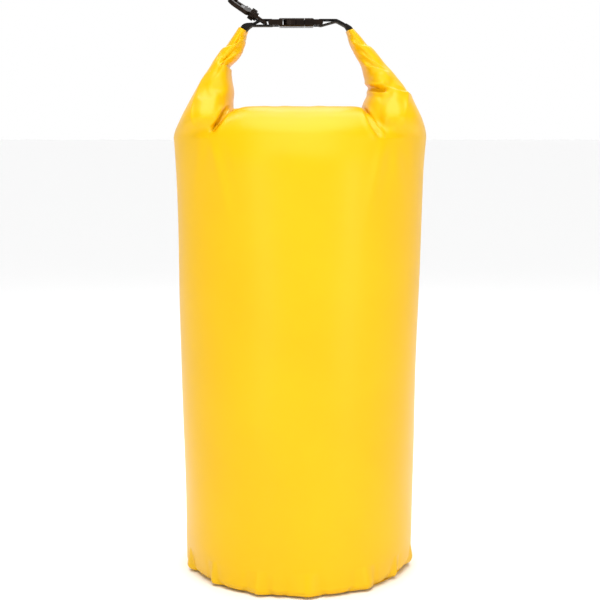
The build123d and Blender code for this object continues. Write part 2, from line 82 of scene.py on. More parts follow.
# ---- Creases of the body ---------------------------------------------------------------------------
# Puckers at the base weld: degrees from the front towards +X, height and width.
PUCKERS = [
    (3.0, 27, 42),
    (-20, 26, 30),
    (34, 28, 36),
    (58, 20, 24),
    (81, 24, 34),
    (112, 22, 28),
    (140, 26, 34),
    (171, 21, 26),
    (-158, 25, 32),
    (-131, 20, 26),
    (-102, 24, 30),
    (-74, 22, 26),
    (-47, 18, 24),
]
PUCKER_RISE = 6.0
PUCKER_GROOVE = 2.4  # beside each pucker
BASE_RADIUS = 135.0  # turns degrees round the base into a distance
# Drapes on the front: upper and lower end as (X, Z), half width and height.
DRAPES = [
    ((-97, 500), (-72, 395), 6.0, 1.3),
    ((92, 500), (66, 385), 6.5, 1.4),
    ((104, 498), (118, 420), 6.0, 1.0),
    ((-112, 498), (-124, 425), 6.0, 0.9),
]
# Where the bottom edge is drawn in: degrees from the front towards +X, width and depth.
DRAWN_IN = [(-61, 16, 5.0), (57, 17, 4.5), (0, 32, -2.6), (128, 24, 4.5), (-130, 24, 4.5)]
DRAWN_IN_HEIGHT = 46.0
SEAM_HALF_WIDTH = 10.0
SEAM_ENDS = (24.0, 500.0)
SEAM_THICKNESS = 1.2
SEAM_SUNK = 0.3  # how far the tape's edges lie below the fabric

# ---- Top of the bag, between the sleeves -----------------------------------------------------------
CREST_Z = 543.2
CREST_Y = 49.0
BACK_CREST_DROP = 2.5
GROOVE_Y = 21.0  # half width of the groove that the roll lies in
GROOVE_Z = 530.4
# Crest height against X: it falls away into the dart beside each sleeve.
CREST_LINE = [
    (-101, 507.0),
    (-97, 510.0),
    (-92, 517.0),
    (-87, 526.5),
    (-81, 534.0),
    (-72, 540.0),
    (-60, CREST_Z),
    (0, CREST_Z + 0.4),
    (62, CREST_Z),
    (72, 540.5),
    (79, 533.5),
    (85, 524.0),
    (91, 513.0),
    (96, 507.0),
]
DART_COLUMNS = {"left": 50, "right": 54}  # from each outer corner to the foot of the dart

# ---- Sleeves ---------------------------------------------------------------------------------------
# Sections up each arm: outermost and innermost point as (X, Z), half depth, squareness.
SECTIONS = {
    "left": [
        ((-137.5, 529.0), (-77.0, 531.0), 71.0, 2.7),
        ((-127.5, 548.0), (-77.5, 547.0), 57.0, 2.8),
        ((-117.0, 566.0), (-76.5, 560.5), 46.0, 2.8),
        ((-106.5, 583.5), (-79.0, 574.5), 37.0, 2.6),
        ((-98.5, 597.0), (-80.5, 587.5), 31.0, 2.4),
        ((-92.0, 606.0), (-72.0, 597.5), 27.0, 2.4),
        ((-85.5, 613.5), (-66.0, 607.5), 24.0, 2.3),
        ((-78.8, 622.3), (-62.3, 617.3), 21.5, 2.3),
        ((-70.6, 633.9), (-58.9, 627.8), 19.5, 2.3),
    ],
    "right": [
        ((140.5, 529.0), (69.5, 531.0), 71.0, 2.7),
        ((131.0, 548.0), (73.0, 546.0), 59.0, 2.8),
        ((121.5, 564.0), (78.0, 558.5), 49.0, 2.7),
        ((112.0, 576.5), (76.0, 569.0), 42.0, 2.5),
        ((103.5, 586.5), (73.5, 579.5), 36.0, 2.4),
        ((95.0, 597.0), (71.0, 590.5), 31.0, 2.4),
        ((86.5, 606.5), (65.0, 601.0), 27.0, 2.3),
        ((78.0, 614.5), (58.2, 610.3), 24.4, 2.5),
        ((70.2, 623.2), (55.3, 620.0), 21.3, 2.4),
        ((62.0, 631.8), (52.0, 628.1), 19.0, 2.3),
    ],
}
# Darts between the top and each sleeve, as (X, Z) from the roll down to the foot.
DARTS = {
    "left": [(-79.7, 545.5), (-84.0, 537.0), (-88.6, 529.0), (-93.4, 521.4), (-98.6, 513.5)],
    "right": [(71.5, 545.5), (74.8, 535.0), (80.2, 523.5), (86.0, 514.5), (92.0, 508.0)],
}
# Outer edge of the flattened face on the front of each sleeve.
FACETS = {
    "left": [
        (-92.0, 586.0), (-106.4, 578.3), (-115.5, 558.0), (-120.2, 539.4), (-117.4, 523.2), (-103.0, 514.5)
    ],
    "right": [(103.0, 570.0), (115.0, 565.5), (120.0, 556.0), (118.0, 540.0), (113.0, 519.0), (104.0, 509.0)],
}
# Folds: the route across the sleeve as (X, Z) from the inner side outwards, kind, height, and whether each
# end runs out over the edge. In a lap the piece below lies over the piece above.
FOLDS = {
    "left": [
        ([(-61.0, 621.5), (-68.6, 616.0), (-78.0, 612.5), (-88.0, 610.2)], "lap", 2.6, (True, True)),
        (
            [(-64.0, 613.5), (-67.8, 606.8), (-75.7, 600.6), (-85.0, 594.3), (-92.5, 588.0)],
            "lap", 3.8, (True, False),
        ),
        ([(-68.0, 604.0), (-74.5, 596.0), (-84.0, 590.5), (-91.0, 588.8)], "lap", 1.8, (True, False)),
        ([(-78.5, 583.5), (-84.5, 585.5), (-91.0, 588.8)], "lap", 5.7, (True, False)),
        ([(-79.0, 561.5), (-92.0, 563.0), (-104.0, 556.0), (-110.0, 546.0)], "dimple", 2.5, (False, False)),
        (FACETS["left"], "ridge", 2.2, (False, False)),
        (DARTS["left"], "dart", 0, (True, False)),
    ],
    "right": [
        ([(54.0, 622.5), (60.0, 616.5), (67.1, 613.4), (79.0, 612.0)], "lap", 2.1, (True, True)),
        (
            [(62.5, 606.5), (73.0, 600.4), (84.0, 594.3), (95.1, 588.4), (104.0, 582.0)],
            "lap", 2.2, (True, False),
        ),
        (
            [(65.5, 601.2), (73.8, 593.2), (81.0, 587.3), (92.8, 583.3), (104.0, 580.8)],
            "lap", 3.4, (True, False),
        ),
        ([(77.0, 564.8), (84.5, 563.0), (92.0, 562.6), (99.5, 563.6)], "hollow", 7.2, (True, False)),
        ([(94.0, 567.4), (104.0, 563.0), (114.0, 559.6), (124.5, 557.6)], "lap", 2.6, (False, True)),
        ([(84.0, 553.0), (93.0, 556.5), (104.0, 551.0)], "dimple", 2.0, (False, False)),
        (FACETS["right"], "ridge", 2.0, (False, False)),
        (DARTS["right"], "dart", 0, (True, False)),
    ],
}
DART_WIDTH = 2.0  # half width of its valley
DART_DEPTH = 5.2
DART_ROLL = 1.5  # height of the fabric on both sides of it
LAP_WIDTH = 1.9  # half width of the step
LAP_REACH = 7.5  # how far the fabric beside the step is moved
LAP_OVERHANG = 1.7
LAP_VALLEY, LAP_RIM = 1.5, 1.15  # depth above the step and height below it, against the fold's height
RIDGE_REACH = 3.5
DIMPLE_REACH = 7.0
# Swellings of the fabric: centre (X, Z), half widths along X and Z, and height to the front.
SWELLS = {
    "left": [((-103.0, 541.0), (17.0, 27.0), 3.4), ((-92.0, 566.0), (15.0, 17.0), 2.2)],
    "right": [((103.0, 535.0), (15.0, 25.0), 3.2), ((93.0, 574.5), (13.0, 7.0), 2.0)],
}
# Roll of the mouth between the sleeves.
ROLL_ENDS = (-80.0, 70.0)
ROLL_Z = 536.3
ROLL_HALF_WIDTH = 17.2
ROLL_HALF_HEIGHT = 5.0
ROLL_COLUMNS = 120
ROLL_LAP = 0.9
ROLL_LAP_AT = 2.2  # round the section, from the back over the top
# Webbing stacked over the roll's stiffened ends: X, Z, half width and half thickness from inside upwards.
WEBBING_ROOTS = {
    "left": [
        (-70.0, 620.0, 12.0, 3.0),
        (-66.0, 628.3, 12.4, 4.6),
        (-62.0, 633.6, 12.5, 4.2),
        (-54.0, 637.0, 12.5, 1.9),
    ],
    "right": [
        (62.0, 622.5, 12.0, 2.4),
        (59.2, 627.2, 12.4, 3.5),
        (56.6, 631.6, 12.5, 3.5),
        (51.5, 636.4, 12.5, 2.0),
    ],
}
RING_STEP = 0.8  # along a sleeve
SLEEVE_REACH = 128.0  # degrees each way from a sleeve's outermost point to the foot of the dart
SLEEVE_FADE = 12.0  # over which the folds begin above the bag's edge
LIP_ROWS = 5
LIP_WALL = 1.1
LIP_DEPTH = 14.0

# ---- Camera and light ------------------------------------------------------------------------------
CAMERA_DISTANCE = 1650.0
CAMERA_HEIGHT = 533.0
CAMERA_TILT = 7.44  # degrees downwards
CAMERA_LENS = 84.7
# Standing softboxes: degrees from the front towards +X, width and power.
SOFTBOXES = {"softbox_left": (-30, 0.3, 3.6), "softbox_right": (42, 0.36, 5.1)}
SOFTBOX_DISTANCE = 1.9
SOFTBOX_HEIGHT = 0.7
SOFTBOX_LENGTH = 1.6
SOFTBOX_AIM = (0, 0, 0.36)
# Hung softboxes: place, target, width and length, power.
HUNG_SOFTBOXES = {
    "softbox_top": ((0, 0.9, 1.75), (0, 0, 0.5), (1.8, 1.0), 24),
    "softbox_front": ((0, -0.75, 1.05), (0, 0, 0.6), (0.9, 0.25), 2.2),
}
OVERHEAD_PLACE = (0, -0.38, 2)
OVERHEAD_STRENGTH = 2.36
OVERHEAD_SPREAD = 50  # degrees
FLOOR_GREY = 0.96
FLOOR_SIZE = 60


# ---- Curves and meshes -----------------------------------------------------------------------------
def through(positions, keys, at):
    """Smooth curve through keys that stand at rising positions, read at other positions."""
    p, k, at = np.asarray(positions, float), np.asarray(keys, float), np.asarray(at, float)
    shape = (-1,) + (1,) * (k.ndim - 1)
    slope = np.empty_like(k)
    slope[1:-1] = (k[2:] - k[:-2]) / (p[2:] - p[:-2]).reshape(shape)
    slope[0] = (k[1] - k[0]) / (p[1] - p[0])
    slope[-1] = (k[-1] - k[-2]) / (p[-1] - p[-2])
    i = np.clip(np.searchsorted(p, at, side="right") - 1, 0, len(p) - 2)
    gap = (p[i + 1] - p[i]).reshape(shape)
    t = ((at - p[i]) / (p[i + 1] - p[i])).reshape(shape)
    return (
        k[i] * (1 + 2 * t) * (1 - t) ** 2
        + slope[i] * gap * t * (1 - t) ** 2
        + k[i + 1] * t**2 * (3 - 2 * t)
        + slope[i + 1] * gap * t**2 * (t - 1)
    )


def hermite(start, start_slope, end, end_slope, count):
    """Points from start to end with given end directions, the last point left out."""
    t = (np.arange(count) / count).reshape((-1,) + (1,) * np.asarray(start).ndim)
    return (
        start * (1 + 2 * t) * (1 - t) ** 2
        + start_slope * t * (1 - t) ** 2
        + end * t**2 * (3 - 2 * t)
        + end_slope * t**2 * (t - 1)
    )


def smooth(x):
    """0 below 0, 1 above 1, and smooth between."""
    x = np.clip(x, 0, 1)
    return x * x * (3 - 2 * x)


def grid_faces(index, closed):
    """Quads of a grid of vertex numbers, rows by columns."""
    if closed:
        index = np.concatenate([index, index[:, :1]], axis=1)
    a, b, c, d = index[:-1, :-1], index[:-1, 1:], index[1:, 1:], index[1:, :-1]
    return np.stack([a, b, c, d], axis=-1).reshape(-1, 4)


def make_piece(name, points, faces, material, normals=None):
    """A smooth-shaded object from points in millimetres."""
    mesh = bpy.data.meshes.new(name)
    mesh.from_pydata((points * MM).tolist(), [], faces if isinstance(faces, list) else faces.tolist())
    mesh.polygons.foreach_set("use_smooth", [True] * len(mesh.polygons))
    mesh.materials.append(material)
    mesh.update()
    if normals is not None:
        mesh.normals_split_custom_set_from_vertices(normals.tolist())
    piece = bpy.data.objects.new(name, mesh)
    bpy.context.scene.collection.objects.link(piece)
    return piece


def vertex_normals(points, faces):
    """Area-weighted vertex normals."""
    faces = np.asarray(faces)
    across = points[faces[:, 2]] - points[faces[:, 0]]
    along = points[faces[:, 3]] - points[faces[:, 1]]
    face_normals = np.cross(across, along)
    total = np.zeros_like(points)
    for corner in range(4):
        np.add.at(total, faces[:, corner], face_normals)
    return total / np.maximum(np.linalg.norm(total, axis=1, keepdims=True), 1e-9)


# ---- The bag ---------------------------------------------------------------------------------------
def ring_angles():
    return np.arange(COLUMNS) * (2 * math.pi / COLUMNS)


def from_front(angles):
    """Degrees from the front towards +X, from -180 to 180."""
    return (np.degrees(angles) + 90 + 180) % 360 - 180


def body_ring(z):
    """The bag's section at a height, before puckers and dents."""
    heights = [row[0] for row in BODY_PROFILE]
    half_width, half_depth = through(heights, [row[1:] for row in BODY_PROFILE], [z])[0]
    angles = ring_angles()
    return np.stack([half_width * np.cos(angles), half_depth * np.sin(angles), np.full(COLUMNS, z)], axis=1)


def bottom_corner():
    """Rows from under the base up round the bottom edge."""
    angles = ring_angles()
    sag = np.exp(-(((from_front(angles) - SAG_AT) / SAG_WIDTH) ** 2))
    radius = CORNER_RADIUS + (CORNER_RADIUS_RIGHT - CORNER_RADIUS) * sag
    first = body_ring(BODY_PROFILE[0][0])
    full = np.linalg.norm(first[:, :2], axis=1)
    direction = first[:, :2] / full[:, None]
    rows = []
    for inwards in (TURNED_IN, TURNED_IN / 2):
        place = direction * (full - radius - inwards)[:, None]
        rows.append(np.concatenate([place, np.full((COLUMNS, 1), TURNED_IN_Z)], axis=1))
    for turn in np.linspace(0, math.pi / 2, 9):
        out = full - radius + radius * math.sin(turn)
        height = CORNER_Z + radius * (1 - math.cos(turn))
        rows.append(np.concatenate([direction * out[:, None], height[:, None]], axis=1))
    return rows


def drawn_in(points):
    """Pulls the bottom edge in where the filled fabric runs straight between front, sides and back."""
    angle = from_front(np.arctan2(points[..., 1], points[..., 0]))
    low = 1 - smooth(points[..., 2] / DRAWN_IN_HEIGHT)
    pull = np.zeros_like(low)
    for middle, width, depth in DRAWN_IN:
        pull += depth * np.exp(-((((angle - middle + 180) % 360 - 180) / width) ** 2))
    moved = points.copy()
    radius = np.maximum(np.linalg.norm(points[..., :2], axis=-1), 1)
    moved[..., :2] *= (1 - pull * low / radius)[..., None]
    return moved


def puckered(points):
    """Pushes the tube out along pleats that rise from the base weld, and in between them."""
    angle = from_front(np.arctan2(points[..., 1], points[..., 0]))
    radius = np.linalg.norm(points[..., :2], axis=-1)
    push = np.zeros_like(radius)
    for middle, height, width in PUCKERS:
        away = ((angle - middle + 180) % 360 - 180) * math.pi / 180 * BASE_RADIUS
        rise = np.clip(1 - points[..., 2] / height, 0, 1)
        half = width / 2 * rise + 1.5
        ridge = np.clip(1 - np.abs(away) / half, 0, 1)
        lopsided = 1 + 0.5 * np.tanh(away / 6)
        push += PUCKER_RISE * rise**0.7 * ridge * lopsided
        groove = np.exp(-(((np.abs(away) - half - 2.5) / 4.0) ** 2))
        push -= PUCKER_GROOVE * rise * groove
    push *= np.clip(points[..., 2] / 3, 0.55, 1)
    moved = points.copy()
    moved[..., :2] *= ((radius + push) / np.maximum(radius, 1))[..., None]
    return moved


def uneven(points, amount):
    """Shallow hand-sized waves in the filled fabric."""
    x, y, z = points[..., 0], points[..., 1], points[..., 2]
    turn = np.arctan2(y, x)
    wave = (
        np.sin(3 * turn + z / 95 + 0.6)
        + 0.7 * np.sin(5 * turn - z / 60 + 2.1)
        + 0.5 * np.sin(7 * turn + z / 38 + 4.0)
        + 0.4 * np.sin(2 * turn - z / 27 + 1.2)
    )
    radius = np.maximum(np.hypot(x, y), 1)
    fade = smooth(z / 60) * smooth((SPLIT_Z - z) / 40)
    moved = points.copy()
    moved[..., :2] *= (1 + amount * wave * fade / radius)[..., None]
    return moved


def draped(points):
    """Faint drapes that run down and inwards from the foot of each dart."""
    x, y, z = points[..., 0], points[..., 1], points[..., 2]
    push = np.zeros_like(x)
    for top, bottom, width, height in DRAPES:
        share = np.clip((top[1] - z) / (top[1] - bottom[1]), 0, 1)
        away = x - (top[0] + (bottom[0] - top[0]) * share)
        inside = (z < top[1] + 12) & (z > bottom[1])
        fade = smooth((top[1] + 12 - z) / 20) * smooth(1 - share) * inside * smooth(-y / 30)
        crest = np.exp(-((away / width) ** 2))
        hollow = 0.6 * np.exp(-(((away - 1.8 * width) / width) ** 2))
        push += height * fade * (crest - hollow)
    moved = points.copy()
    moved[..., 1] -= push
    return moved


def tube_rows():
    """The tube from under the base to the split, as rows by columns."""
    first, last = BODY_PROFILE[0][0], SPLIT_Z
    heights = np.concatenate(
        [np.arange(first + 3, 60, 3.5), np.arange(60, 456, 6.0), np.arange(456, last - 1, 3.7), [last]]
    )
    rows = bottom_corner() + [body_ring(z) for z in heights]
    rows = draped(uneven(puckered(drawn_in(np.array(rows))), UNEVENNESS))
    rows[..., 0] -= LEAN * smooth((SPLIT_Z - LEAN_START - rows[..., 2]) / LEAN_HEIGHT)
    return rows


def top_rows(front, front_slope, back, back_slope):
    """The bag's top from the tube's front edge, over the crest, under the roll and down to the back edge."""
    crest_x = front[:, 0] * 0.975
    line_x, line_z = zip(*CREST_LINE)
    crest_z = through(line_x, line_z, np.clip(crest_x, line_x[0], line_x[-1]))
    steep = smooth((crest_z - 507) / 30)
    crest_y = CREST_Y * (0.72 + 0.28 * steep)
    floor_z = np.minimum(GROOVE_Z, crest_z - 3)

    def across(y, z):
        return np.stack([crest_x, y, z], axis=1)

    def level(length):
        return np.stack([0 * crest_x, np.full_like(crest_x, length), 0 * crest_x], axis=1)

    front_crest = across(-crest_y, crest_z)
    back_crest = across(crest_y, crest_z - BACK_CREST_DROP * steep)
    front_foot = across(np.full_like(crest_x, -GROOVE_Y + 2.5), floor_z)
    back_foot = across(np.full_like(crest_x, GROOVE_Y - 2.5), floor_z)
    rise = np.linalg.norm(front_crest - front, axis=1, keepdims=True)
    into = np.stack([0 * crest_x, np.full_like(crest_x, 12.0), -2.2 * (crest_z - floor_z)], axis=1)
    out = into * [1, 1, -1]
    parts = [
        hermite(front, front_slope * rise * 1.05, front_crest, level(1) * rise * 1.15, 18),
        hermite(front_crest, level(34), front_foot, into, 10),
        hermite(front_foot, level(8), back_foot, level(8), 8),
        hermite(back_foot, out, back_crest, level(34), 10),
        hermite(back_crest, level(1) * rise * 1.15, back, back_slope * rise * 1.05, 18),
    ]
    rows = np.concatenate(parts, axis=0)[1:]
    x, y = rows[..., 0], rows[..., 1]
    gathered = np.exp(-(((np.abs(y) - 34) / 16) ** 2)) * smooth((80 - np.abs(x)) / 40)
    rows[..., 2] += gathered * (0.5 * np.sin(x / 5.5 + 0.05 * y) + 0.35 * np.sin(x / 3.1 + 1.0))
    x, z = rows[..., 0].copy(), rows[..., 2].copy()
    for route in DARTS.values():
        away, share = route_distance(route, x, z)
        at_front, at_back = smooth((-10 - y) / 20), smooth((y - 10) / 20)
        push = dart_push(away, share, at_front) + 0.6 * dart_push(away, share, at_back)
        rows += np.stack([np.sign(x) * 0.45, 0.75 * np.sign(y), 0.45 + 0 * x], axis=-1) * push[..., None]
    return rows


# ---- The sleeves -----------------------------------------------------------------------------------
def superellipse(angles, squareness):
    power = 2 / squareness
    c, s = np.cos(angles), np.sin(angles)
    return np.sign(c) * np.abs(c) ** power, np.sign(s) * np.abs(s) ** power


def section_ring(outer, inner, half_depth, squareness, angles):
    """One section of a sleeve. Angle 0 is its outermost point, and 90 degrees its front."""
    outer, inner = np.array([outer[0], 0, outer[1]]), np.array([inner[0], 0, inner[1]])
    middle, half = (outer + inner) / 2, (outer - inner) / 2
    c, s = superellipse(angles, squareness)
    ring = middle + c[:, None] * half
    ring[:, 1] = -s * half_depth
    return ring


def route_distance(route, x, z):
    """Signed distance of points from a route, positive above it, and the share of its length there."""
    route = np.array(route, float)
    fine = through(np.arange(len(route)), route, np.linspace(0, len(route) - 1, 12 * (len(route) - 1) + 1))
    lengths = np.concatenate([[0], np.cumsum(np.linalg.norm(np.diff(fine, axis=0), axis=1))])
    best = np.full(x.shape, 1e9)
    signed, share = np.zeros(x.shape), np.zeros(x.shape)
    for i, (a, b) in enumerate(zip(fine[:-1], fine[1:])):
        span = b - a
        length = np.linalg.norm(span)
        t = ((x - a[0]) * span[0] + (z - a[1]) * span[1]) / length**2
        low = -4.0 if i == 0 else 0.0
        high = 5.0 if i == len(fine) - 2 else 1.0
        held = np.clip(t, low, high)
        dx, dz = x - a[0] - held * span[0], z - a[1] - held * span[1]
        away = np.hypot(dx, dz)
        normal = np.array([-span[1], span[0]]) / length
        if normal[1] < 0:
            normal = -normal
        nearer = away < best
        best = np.where(nearer, away, best)
        signed = np.where(nearer, away * np.sign(dx * normal[0] + dz * normal[1]), signed)
        share = np.where(nearer, (lengths[i] + np.clip(t, 0, 1) * length) / lengths[-1], share)
    return signed, share


def dart_push(away, share, at_front):
    """How far the fabric at a dart moves outwards: a valley on its line and a roll on each side."""
    valley = np.exp(-((away / DART_WIDTH) ** 2))
    rolls = np.exp(-(((np.abs(away) - 2.6 * DART_WIDTH) / (1.3 * DART_WIDTH)) ** 2))
    fade = smooth((1 - share) / 0.25) * smooth(share / 0.3)
    return (DART_ROLL * rolls - DART_DEPTH * valley) * fade * at_front


def folded(side, rings, outwards, upwards):
    """Adds the folds and swellings of one sleeve."""
    x, z = rings[..., 0].copy(), rings[..., 2].copy()
    at_front = smooth(0.5 - rings[..., 1] / 24)
    moved = rings.copy()
    for centre, half, height in SWELLS[side]:
        inside = np.clip(1 - ((x - centre[0]) / half[0]) ** 2 - ((z - centre[1]) / half[1]) ** 2, 0, 1)
        moved += outwards * (height * smooth(inside) * (0.45 + 0.55 * at_front))[..., None]
    for route, kind, height, over_edge in FOLDS[side]:
        away, share = route_distance(route, x, z)
        start = 1.0 if over_edge[0] else smooth(share / 0.3)
        end = 1.0 if over_edge[1] else smooth((1 - share) / 0.3)
        strength = height * start * end * (0.55 + 0.45 * at_front) * (0.4 + 0.6 * np.abs(outwards[..., 1]))
        if kind == "dart":
            moved += outwards * dart_push(away, share, at_front)[..., None]
            continue
        if kind == "ridge":
            push = np.exp(-np.abs(away) / RIDGE_REACH)
            moved += outwards * (height * start * end * at_front * push)[..., None]
            continue
        if kind == "dimple":
            push = np.exp(-((away / DIMPLE_REACH) ** 2))
            moved -= outwards * (height * start * end * at_front * push)[..., None]
            continue
        if kind == "lap":
            push = -np.tanh(away / LAP_WIDTH) * np.exp(-np.abs(away) / LAP_REACH)
            push = np.where(push < 0, LAP_VALLEY * push, LAP_RIM * push)
            lift = np.exp(-(((away + 1.4) / 1.6) ** 2))
            moved += upwards[:, None, :] * (LAP_OVERHANG * lift * strength / 2)[..., None]
        else:
            push = 0.45 * np.exp(-(((np.abs(away) - 4.6) / 2.4) ** 2)) - np.exp(-((away / 2.6) ** 2))
        moved += outwards * (strength * push)[..., None]
    return moved


def sleeve_rows(side, foot_ring, below_ring):
    """A sleeve's rings from the bag's edge to the lip at the end of the roll, folds included."""
    count = len(foot_ring)
    reach = DART_COLUMNS[side]
    outer_columns = 2 * reach + 1
    hidden = count - outer_columns
    half_turn = math.radians(SLEEVE_REACH)
    outer_angles = np.linspace(-half_turn, half_turn, outer_columns)
    hidden_angles = np.linspace(half_turn, 2 * math.pi - half_turn, hidden + 2)[1:-1]
    angles = np.concatenate([outer_angles, hidden_angles])
    sections = SECTIONS[side]
    keys = [below_ring, foot_ring] + [section_ring(*s, angles) for s in sections]
    middles = np.array([key[:outer_columns].mean(axis=0) * [1, 0, 1] for key in keys[:2]])
    section_middles = [[(o[0] + i[0]) / 2, 0, (o[1] + i[1]) / 2] for o, i, _, _ in sections]
    middles = np.concatenate([middles, section_middles])
    steps = np.linalg.norm(np.diff(middles, axis=0), axis=1)
    positions = np.concatenate([[0], np.cumsum(steps)])
    start, end = positions[1], positions[-1]
    at = np.linspace(start, end, int((end - start) / RING_STEP) + 1)
    rings = through(positions, np.array(keys), at)
    line = through(positions, middles, at)
    upwards = np.gradient(line, axis=0)
    upwards /= np.linalg.norm(upwards, axis=1, keepdims=True)
    index = np.arange(rings.shape[0] * count).reshape(rings.shape[0], count)
    outwards = vertex_normals(rings.reshape(-1, 3), grid_faces(index, True)).reshape(rings.shape)
    if ((rings[-1] - line[-1]) * outwards[-1]).sum() < 0:
        outwards = -outwards
    full = folded(side, rings, outwards, upwards)
    fade = smooth((at - start) / SLEEVE_FADE)[:, None, None]
    rings = rings + (full - rings) * fade
    return lipped(rings, upwards[-1])


def lipped(rings, upwards):
    """Turns the top edge of a sleeve in over its thickness and down inside."""
    top = rings[-1]
    middle = top.mean(axis=0)
    inwards = middle - top
    inwards /= np.linalg.norm(inwards, axis=1, keepdims=True)
    rows = [
        top + upwards * 0.35 + inwards * 0.2,
        top + upwards * 0.35 + inwards * (LIP_WALL - 0.2),
        top + inwards * LIP_WALL,
        top + inwards * (LIP_WALL + 0.4) - upwards * LIP_DEPTH / 2,
        top + inwards * (LIP_WALL + 1.2) - upwards * LIP_DEPTH,
    ]
    return np.concatenate([rings, np.array(rows)])


def fabric_surface():
    """Points, and the grids of vertex numbers, of the bag and both sleeves as one surface."""
    tube = tube_rows()
    points = [tube.reshape(-1, 3)]
    used = tube.shape[0] * COLUMNS
    tube_index = np.arange(used).reshape(tube.shape[:2])
    slope = tube[-1] - tube[-2]
    slope /= np.linalg.norm(slope, axis=1, keepdims=True)
    half = COLUMNS // 2
    right, left = DART_COLUMNS["right"], DART_COLUMNS["left"]
    front = np.arange(half + left, COLUMNS - right + 1)
    back = np.arange(half - left, right - 1, -1)
    rows = top_rows(tube[-1][front], slope[front], tube[-1][back], -slope[back])
    top_index = used + np.arange(rows.shape[0] * rows.shape[1]).reshape(rows.shape[:2])
    points.append(rows.reshape(-1, 3))
    used += rows.shape[0] * rows.shape[1]
    top_index = np.concatenate([tube_index[-1][front][None], top_index, tube_index[-1][back][None]])
    grids = {"tube": tube_index, "top": top_index}
    for side, middle in (("left", half), ("right", 0)):
        reach = DART_COLUMNS[side]
        arc = np.arange(middle - reach, middle + reach + 1) % COLUMNS
        if side == "right":
            arc = arc[::-1]
        hidden_count = 2 * reach
        rings = []
        for ring in (tube[-8], tube[-1]):
            seen = ring[arc]
            inner = hidden_arc(seen[-1], seen[0], ring[middle], hidden_count)
            rings.append(np.concatenate([seen, inner]))
        sleeve = sleeve_rows(side, rings[1], rings[0])
        fresh = sleeve.reshape(-1, 3)
        index = used + np.arange(len(fresh)).reshape(sleeve.shape[:2])
        index[0, : len(arc)] = tube_index[-1][arc]
        points.append(fresh)
        used += len(fresh)
        grids[side] = index
    return np.concatenate(points), grids


def hidden_arc(start, end, corner, count):
    """The part of a sleeve's first ring that lies inside the bag, from dart foot to dart foot."""
    t = np.linspace(0, 1, count + 2)[1:-1, None]
    straight = start + (end - start) * t
    inwards = -np.sign(corner[0]) * 20.0
    straight[:, 0] += inwards * np.sin(math.pi * t[:, 0])
    straight[:, 2] -= 4.0 * np.sin(math.pi * t[:, 0])
    return straight


def seam_strip(tube):
    """Welded tape over the bag's vertical seam, on the middle of the back."""
    half = COLUMNS // 2
    columns = np.arange(half // 2 - 4, half // 2 + 5)
    tape = tube[:, columns]
    level = (tape[:, 0, 2] > SEAM_ENDS[0]) & (tape[:, 0, 2] < SEAM_ENDS[1])
    tape = tape[level].copy()
    share = np.linspace(-1, 1, len(columns))
    tape[..., 0] = tape[:, 4, 0][:, None] + SEAM_HALF_WIDTH * share
    tape[..., 1] += smooth((1 - np.abs(share)) / 0.2) * SEAM_THICKNESS - SEAM_SUNK
    ends = np.array([0.25, *[1.0] * (len(tape) - 2), 0.25])
    tape[..., 1] -= (1 - ends)[:, None]
    return tape


def compact(points, faces, normals):
    """Only the points that these faces use, with the faces renumbered."""
    used, inverse = np.unique(faces, return_inverse=True)
    return points[used], inverse.reshape(faces.shape), normals[used]


def facing_out(points, faces, inside):
    """Turns the faces so that most look away from a point inside."""
    corner = points[faces]
    normal = np.cross(corner[:, 2] - corner[:, 0], corner[:, 3] - corner[:, 1])
    away = ((corner.mean(axis=1) - inside) * normal).sum()
    return faces if away > 0 else faces[:, ::-1]


def make_fabric(material):
    points, grids = fabric_surface()
    tape = seam_strip(points[grids["tube"]])
    index = np.arange(tape.shape[0] * tape.shape[1]).reshape(tape.shape[:2])
    flat = tape.reshape(-1, 3)
    inside = np.array([0, 0, 250.0])
    strip = make_piece("seam_tape", flat, facing_out(flat, grid_faces(index, False), inside), material)
    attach(strip, "bag")
    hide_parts("back_seam_strip")
    faces = {
        "tube": facing_out(points, grid_faces(grids["tube"], True), inside),
        "top": facing_out(points, grid_faces(grids["top"], False), np.array([0, 0, 400.0])),
    }
    for side in ("left", "right"):
        centre = points[grids[side]].reshape(-1, 3).mean(axis=0)
        wall = grid_faces(grids[side][:-LIP_ROWS], True)
        lip = grid_faces(grids[side][-LIP_ROWS - 1 :], True)
        faces[side] = facing_out(points, wall, centre)
        same = (faces[side][0] == wall[0]).all()
        faces[side] = np.concatenate([faces[side], lip if same else lip[:, ::-1]])
    normals = vertex_normals(points, np.concatenate(list(faces.values())))
    bag_faces = np.concatenate([faces["tube"], faces["top"]])
    bag = make_piece("bag_fabric", *renamed(points, bag_faces, normals, material))
    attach(bag, "bag")
    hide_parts("bag_body")
    for side in ("left", "right"):
        sleeve = make_piece(f"sleeve_{side}", *renamed(points, faces[side], normals, material))
        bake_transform(sleeve)
        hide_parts(f"shoulder_gusset_{side}", f"rolled_mouth_{side}", f"stiffener_{side}")


def renamed(points, faces, normals, material):
    """The arguments of make_piece for one part of the joint surface."""
    own_points, own_faces, own_normals = compact(points, faces, normals)
    return own_points, own_faces, material, own_normals


